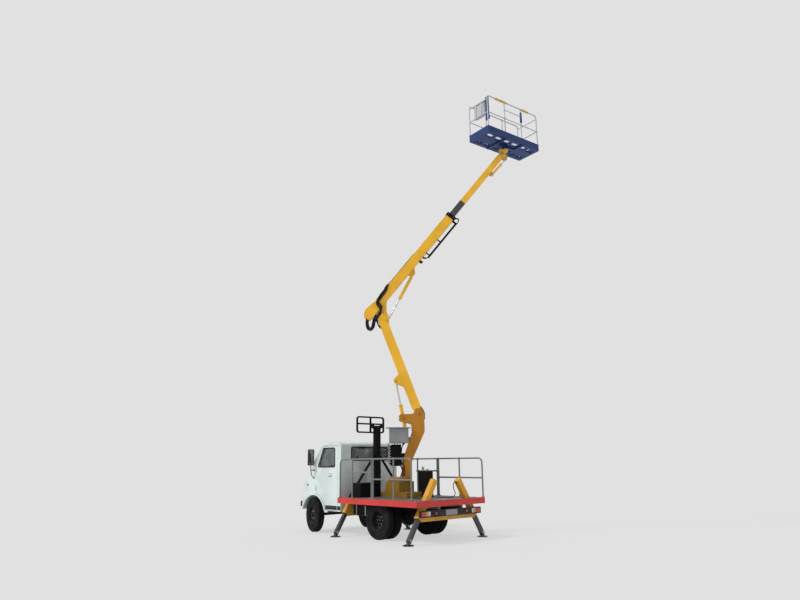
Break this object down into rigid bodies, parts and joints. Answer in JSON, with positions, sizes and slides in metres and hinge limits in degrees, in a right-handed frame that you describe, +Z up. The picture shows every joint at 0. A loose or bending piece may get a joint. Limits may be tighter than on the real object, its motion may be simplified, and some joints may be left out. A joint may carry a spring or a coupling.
{
  "type": "cherry picker truck",
  "caption": "Small forward-control truck with a railed red-edged deck, sloping outriggers, slewing post, articulated telescopic yellow boom and blue work basket with light rails.",
  "frame": {"origin": "the ground point under the rear axle on the centreline of the truck", "axes": "+X forward along the truck, +Y to its left, +Z up"},
  "size_m": [4.881, 4.247, 10.374],
  "materials": {
    "tyre": "matt",
    "wheel_grey": "satin",
    "black": "satin",
    "deck_plate": "matt",
    "red": "gloss",
    "yellow": "gloss",
    "leg_steel": "satin",
    "rail_grey": "satin",
    "white": "gloss",
    "glass": "gloss",
    "engine": "matt",
    "seat": "matt",
    "plastic": "matt",
    "lamp": "gloss",
    "exhaust": "matt",
    "cabinet_grey": "satin",
    "chrome": "polished",
    "blue": "satin",
    "basket_rail": "satin"
  },
  "bodies": {
    "chassis": {"front_axle": "black", "rear_axle": "black", "leaf_springs": "black", "chassis_frame": "black", "propeller_shaft": "black", "deck": "deck_plate", "deck_edge": "red", "outrigger_frames": "yellow", "deck_railings": "rail_grey", "boom_rest": "black", "cab_shell": "white", "cab_glass": "glass", "engine_block": "engine", "seats": "seat", "dashboard": "plastic", "steering_wheel": "plastic", "front_bumper": "black", "lamps": "lamp", "mirrors": "plastic", "fuel_tank": "black", "silencer": "exhaust", "hydraulic_tank": "black", "toolbox": "black", "slew_pedestal": "yellow"},
    "steer_l": {"knuckle_l": "black"},
    "steer_r": {"knuckle_r": "black"},
    "wheel_fl": {"tyre_front_l": "tyre", "rim_front_l": "wheel_grey"},
    "wheel_fr": {"tyre_front_r": "tyre", "rim_front_r": "wheel_grey"},
    "wheel_rl": {"tyre_rear_l": "tyre", "rim_rear_l": "wheel_grey"},
    "wheel_rr": {"tyre_rear_r": "tyre", "rim_rear_r": "wheel_grey"},
    "door_l": {"door_l": "white", "door_glass_l": "glass"},
    "door_r": {"door_r": "white", "door_glass_r": "glass"},
    "leg_rl": {"outrigger_leg_rear_l": "leg_steel"},
    "leg_rr": {"outrigger_leg_rear_r": "leg_steel"},
    "leg_fl": {"outrigger_leg_front_l": "leg_steel"},
    "leg_fr": {"outrigger_leg_front_r": "leg_steel"},
    "turret": {"turret_post": "yellow", "control_cabinet": "cabinet_grey", "valve_block": "black"},
    "lift_barrel": {"lift_cylinder_barrel": "yellow"},
    "lift_rod": {"lift_cylinder_rod": "chrome"},
    "lower_boom": {"lower_boom": "yellow"},
    "upper_boom": {"upper_boom": "yellow", "boom_collar": "black"},
    "elbow_barrel": {"elbow_cylinder_barrel": "yellow"},
    "elbow_rod": {"elbow_cylinder_rod": "chrome"},
    "telescope": {"telescope": "yellow"},
    "level_barrel": {"levelling_cylinder_barrel": "yellow"},
    "level_rod": {"levelling_cylinder_rod": "chrome"},
    "basket_knuckle": {"basket_knuckle": "yellow"},
    "basket": {"basket_mount": "blue", "basket_floor": "blue", "basket_rails": "basket_rail", "basket_controls": "cabinet_grey"}
  },
  "joints": [
    {"name": "steer_left", "type": "hinge", "parent": "chassis", "child": "steer_l", "pos_m": [2.35, 0.62, 0.3875], "axis": [0, 0, 1], "range_deg": [-23, 47]},
    {"name": "steer_right", "type": "hinge", "parent": "chassis", "child": "steer_r", "pos_m": [2.35, -0.62, 0.3875], "axis": [0, 0, 1], "range_deg": [-23, 47]},
    {"name": "roll_front_left", "type": "hinge", "parent": "steer_l", "child": "wheel_fl", "pos_m": [2.38223, 0.77161, 0.3875], "axis": [0.2079, 0.9781, 0], "continuous": true},
    {"name": "roll_front_right", "type": "hinge", "parent": "steer_r", "child": "wheel_fr", "pos_m": [2.31777, -0.77161, 0.3875], "axis": [0.2079, 0.9781, 0], "continuous": true},
    {"name": "roll_rear_left", "type": "hinge", "parent": "chassis", "child": "wheel_rl", "pos_m": [0, 0.8, 0.3875], "axis": [0, 1, 0], "continuous": true},
    {"name": "roll_rear_right", "type": "hinge", "parent": "chassis", "child": "wheel_rr", "pos_m": [0, -0.8, 0.3875], "axis": [0, 1, 0], "continuous": true},
    {"name": "door_left", "type": "hinge", "parent": "chassis", "child": "door_l", "pos_m": [2.265, 0.864, 1.2], "axis": [0, 0, -1], "range_deg": [0, 68]},
    {"name": "door_right", "type": "hinge", "parent": "chassis", "child": "door_r", "pos_m": [2.265, -0.864, 1.2], "axis": [0, 0, 1], "range_deg": [0, 68]},
    {"name": "leg_slide_rl", "type": "slide", "parent": "chassis", "child": "leg_rl", "axis": [0, 0.5446, -0.8387], "range_m": [-0.42, 0]},
    {"name": "leg_slide_rr", "type": "slide", "parent": "chassis", "child": "leg_rr", "axis": [0, -0.5446, -0.8387], "range_m": [-0.42, 0]},
    {"name": "leg_slide_fl", "type": "slide", "parent": "chassis", "child": "leg_fl", "axis": [0, 0.5446, -0.8387], "range_m": [-0.2, 0]},
    {"name": "leg_slide_fr", "type": "slide", "parent": "chassis", "child": "leg_fr", "axis": [0, -0.5446, -0.8387], "range_m": [-0.2, 0]},
    {"name": "slew", "type": "hinge", "parent": "chassis", "child": "turret", "pos_m": [0.25, 0, 1.21], "axis": [0, 0, 1], "range_deg": [-50, 310]},
    {"name": "lower_lift", "type": "hinge", "parent": "turret", "child": "lower_boom", "pos_m": [-0.03604, -0.34089, 2.65], "axis": [0.766, -0.6428, 0], "range_deg": [-61, 12]},
    {"name": "lift_barrel_swing", "type": "hinge", "parent": "turret", "child": "lift_barrel", "pos_m": [0.19215, -0.06894, 2.54], "axis": [0.766, -0.6428, 0], "range_deg": [-73.94, 16.15]},
    {"name": "lift_rod_stroke", "type": "slide", "parent": "lift_barrel", "child": "lift_rod", "axis": [0.1191, 0.142, 0.9827], "range_m": [-0.3652, 0.0799]},
    {"name": "upper_lift", "type": "hinge", "parent": "lower_boom", "child": "upper_boom", "pos_m": [0.48326, 0.27799, 5.02672], "axis": [-0.766, 0.6428, 0], "range_deg": [-112, 20]},
    {"name": "elbow_barrel_swing", "type": "hinge", "parent": "upper_boom", "child": "elbow_barrel", "pos_m": [0.00942, -0.28671, 5.97382], "axis": [0.766, -0.6428, 0], "range_deg": [-2.65, 5.63]},
    {"name": "elbow_rod_stroke", "type": "slide", "parent": "elbow_barrel", "child": "elbow_rod", "axis": [0.3013, 0.3591, -0.8833], "range_m": [-0.4369, 0.0862]},
    {"name": "telescope_slide", "type": "slide", "parent": "upper_boom", "child": "telescope", "axis": [-0.4032, -0.4805, 0.7788], "range_m": [-1.46, 0.35]},
    {"name": "levelling", "type": "hinge", "parent": "telescope", "child": "basket_knuckle", "pos_m": [-1.47299, -2.05338, 9.12401], "axis": [0.766, -0.6428, 0], "range_deg": [-51, 8]},
    {"name": "level_barrel_swing", "type": "hinge", "parent": "telescope", "child": "level_barrel", "pos_m": [-1.29615, -1.84262, 8.57519], "axis": [0.766, -0.6428, 0], "range_deg": [-4.12, 2.33]},
    {"name": "level_rod_stroke", "type": "slide", "parent": "level_barrel", "child": "level_rod", "axis": [-0.4185, -0.4987, 0.7591], "range_m": [-0.0301, 0.1383]},
    {"name": "basket_turn", "type": "hinge", "parent": "basket_knuckle", "child": "basket", "pos_m": [-1.53085, -2.12233, 9.35901], "axis": [0, 0, 1], "range_deg": [-34, 56]}
  ],
  "couplings": [
    {"joint": "steer_right", "follows": "steer_left", "ratio": 1},
    {"joint": "lift_barrel_swing", "follows": "lower_lift", "ratio": 1.1794},
    {"joint": "lift_rod_stroke", "follows": "lower_lift", "m_per_rad": 0.3336},
    {"joint": "elbow_barrel_swing", "follows": "upper_lift", "ratio": -0.0324},
    {"joint": "elbow_rod_stroke", "follows": "upper_lift", "m_per_rad": 0.2184},
    {"joint": "level_barrel_swing", "follows": "levelling", "ratio": 0.0415},
    {"joint": "level_rod_stroke", "follows": "levelling", "m_per_rad": -0.1441}
  ]
}
